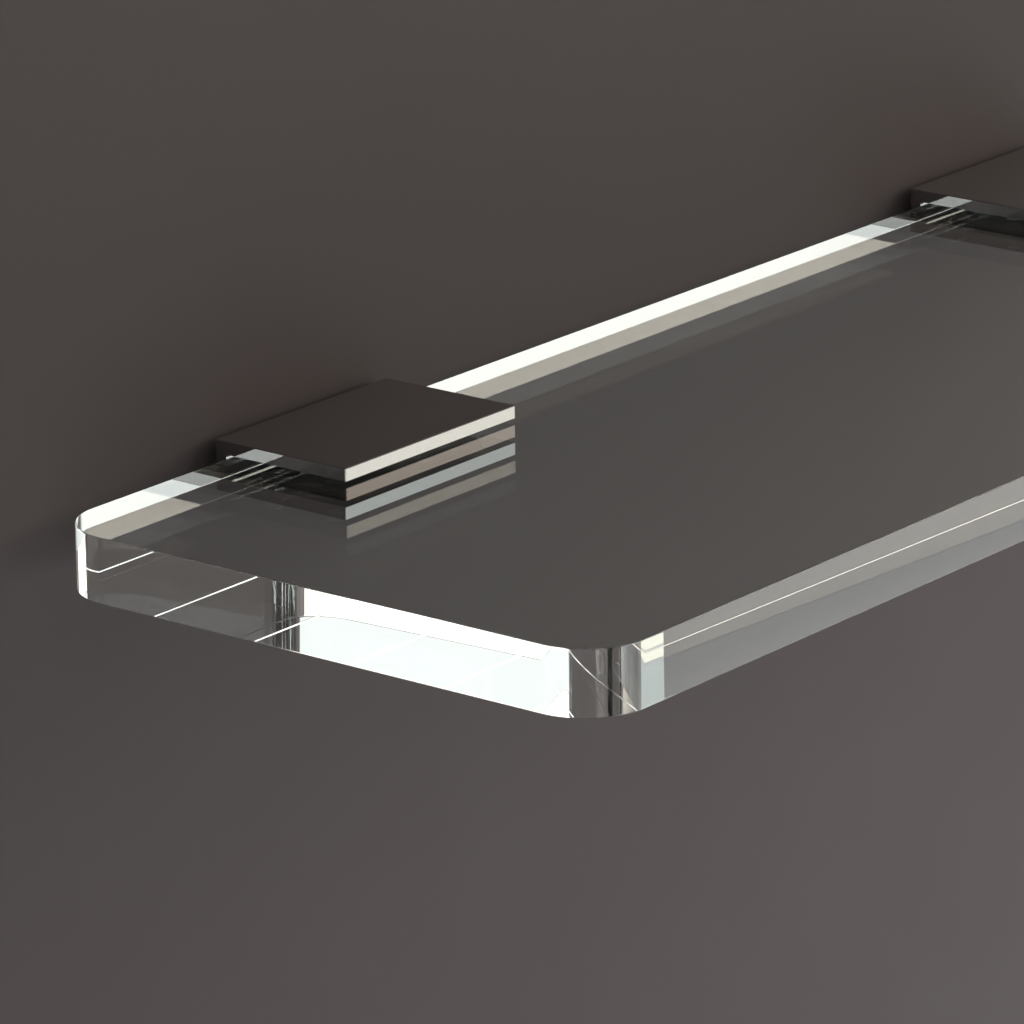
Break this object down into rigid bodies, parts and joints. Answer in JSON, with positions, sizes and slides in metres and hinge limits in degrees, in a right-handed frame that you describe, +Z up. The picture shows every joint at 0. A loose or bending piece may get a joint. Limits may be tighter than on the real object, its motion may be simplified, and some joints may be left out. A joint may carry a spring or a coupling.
{
  "type": "wall shelf with brackets",
  "caption": "Thick clear glass shelf with round corners, gripped by polished C-shaped clamp brackets on hidden wall plates.",
  "frame": {"origin": "on the wall plane, midway between the brackets, level with the middle of the glass", "axes": "+X along the shelf, +Y into the wall (the shelf reaches out towards -Y), +Z up"},
  "size_m": [0.45, 0.1886, 0.0226],
  "materials": {
    "glass": "polished",
    "polished_chrome": "mirror polished",
    "pad": "matt",
    "plate_steel": "zinc plated",
    "zinc_screw": "zinc plated",
    "plug_plastic": "moulded",
    "stainless_screw": "bright",
    "tip_plastic": "natural nylon"
  },
  "bodies": {
    "wall_brackets": {"left_bottom_pad": "pad", "left_bracket_body": "polished_chrome", "left_bracket_screw_inner": "stainless_screw", "left_bracket_screw_outer": "stainless_screw", "left_rear_pad": "pad", "left_top_pad": "pad", "left_wall_plate": "plate_steel", "left_wall_plug_inner": "plug_plastic", "left_wall_plug_outer": "plug_plastic", "left_wall_screw_inner": "zinc_screw", "left_wall_screw_outer": "zinc_screw", "right_bottom_pad": "pad", "right_bracket_body": "polished_chrome", "right_bracket_screw_inner": "stainless_screw", "right_bracket_screw_outer": "stainless_screw", "right_rear_pad": "pad", "right_top_pad": "pad", "right_wall_plate": "plate_steel", "right_wall_plug_inner": "plug_plastic", "right_wall_plug_outer": "plug_plastic", "right_wall_screw_inner": "zinc_screw", "right_wall_screw_outer": "zinc_screw"},
    "glass_panel": {"glass_shelf": "glass"},
    "left_outer_tip": {"left_clamp_tip_outer": "tip_plastic"},
    "left_outer_clamp_screw": {"left_clamp_screw_outer": "stainless_screw"},
    "left_inner_tip": {"left_clamp_tip_inner": "tip_plastic"},
    "left_inner_clamp_screw": {"left_clamp_screw_inner": "stainless_screw"},
    "right_outer_tip": {"right_clamp_tip_outer": "tip_plastic"},
    "right_outer_clamp_screw": {"right_clamp_screw_outer": "stainless_screw"},
    "right_inner_tip": {"right_clamp_tip_inner": "tip_plastic"},
    "right_inner_clamp_screw": {"right_clamp_screw_inner": "stainless_screw"}
  },
  "joints": [
    {"name": "glass_slide", "type": "slide", "parent": "wall_brackets", "child": "glass_panel", "axis": [0, -1, 0], "range_m": [0, 0.024]},
    {"name": "left_outer_tip_travel", "type": "slide", "parent": "wall_brackets", "child": "left_outer_tip", "axis": [0, 0, -1], "range_m": [0, 0.0014]},
    {"name": "left_outer_screw_turn", "type": "hinge", "parent": "left_outer_tip", "child": "left_outer_clamp_screw", "pos_m": [-0.15, -0.024, -0.0098], "axis": [0, 0, -1], "range_deg": [0, 720]},
    {"name": "left_inner_tip_travel", "type": "slide", "parent": "wall_brackets", "child": "left_inner_tip", "axis": [0, 0, -1], "range_m": [0, 0.0014]},
    {"name": "left_inner_screw_turn", "type": "hinge", "parent": "left_inner_tip", "child": "left_inner_clamp_screw", "pos_m": [-0.12, -0.024, -0.0098], "axis": [0, 0, -1], "range_deg": [0, 720]},
    {"name": "right_outer_tip_travel", "type": "slide", "parent": "wall_brackets", "child": "right_outer_tip", "axis": [0, 0, -1], "range_m": [0, 0.0014]},
    {"name": "right_outer_screw_turn", "type": "hinge", "parent": "right_outer_tip", "child": "right_outer_clamp_screw", "pos_m": [0.15, -0.024, -0.0098], "axis": [0, 0, -1], "range_deg": [0, 720]},
    {"name": "right_inner_tip_travel", "type": "slide", "parent": "wall_brackets", "child": "right_inner_tip", "axis": [0, 0, -1], "range_m": [0, 0.0014]},
    {"name": "right_inner_screw_turn", "type": "hinge", "parent": "right_inner_tip", "child": "right_inner_clamp_screw", "pos_m": [0.12, -0.024, -0.0098], "axis": [0, 0, -1], "range_deg": [0, 720]}
  ],
  "couplings": [
    {"joint": "left_outer_screw_turn", "follows": "left_outer_tip_travel", "rad_per_m": 8975.9},
    {"joint": "left_inner_screw_turn", "follows": "left_inner_tip_travel", "rad_per_m": 8975.9},
    {"joint": "right_outer_screw_turn", "follows": "right_outer_tip_travel", "rad_per_m": 8975.9},
    {"joint": "right_inner_screw_turn", "follows": "right_inner_tip_travel", "rad_per_m": 8975.9}
  ]
}
